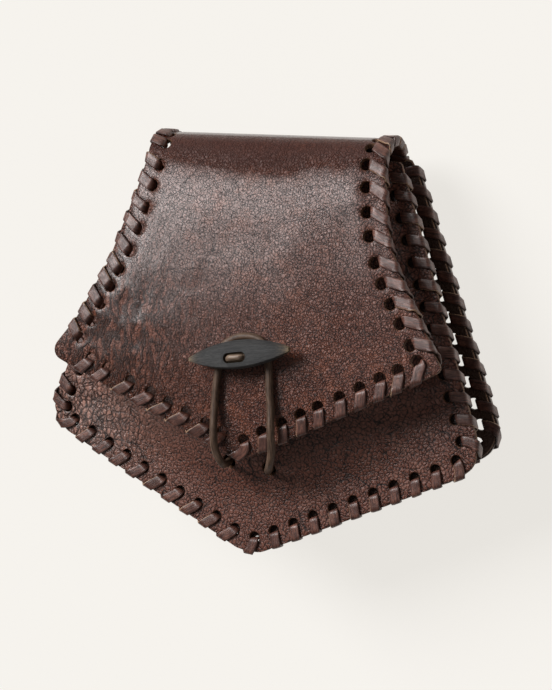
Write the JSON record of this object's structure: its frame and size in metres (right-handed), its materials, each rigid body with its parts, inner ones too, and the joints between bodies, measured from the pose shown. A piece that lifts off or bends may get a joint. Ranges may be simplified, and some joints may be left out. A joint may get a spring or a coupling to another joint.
{
  "type": "belt pouch",
  "caption": "Five-sided leather belt pouch with a rolled-over flap, laced edges, a bellows gusset and a toggle closure.",
  "frame": {"origin": "under the middle of the pouch's box, on the surface that the belt strap's flat outer face lies on", "axes": "+Z out of the pouch's front, +Y from its point towards the roll over the top, +X to the right as seen from the front"},
  "size_m": [0.1782, 0.1558, 0.0583],
  "materials": {
    "back_and_flap": "grained red-brown leather, half gloss",
    "front_panel": "grained dark brown leather, satin",
    "gusset": "dark brown leather, matt",
    "flap_lacing": "flat mauve-brown lace, half gloss",
    "front_lacing": "flat mauve-brown lace, half gloss",
    "back_lacing": "flat mauve-brown lace, half gloss",
    "toggle": "slate-grey, fine lengthwise grain",
    "toggle_tie": "tan round cord, worn shiny",
    "closure_loop": "olive-brown round cord, matt",
    "belt_loop": "plain brown leather"
  },
  "bodies": {
    "root": {"back_and_flap": "back_and_flap", "front_panel": "front_panel", "gusset": "gusset", "flap_lacing": "flap_lacing", "front_lacing": "front_lacing", "back_lacing": "back_lacing", "toggle": "toggle", "toggle_tie": "toggle_tie", "closure_loop": "closure_loop", "belt_loop": "belt_loop"}
  },
  "joints": []
}
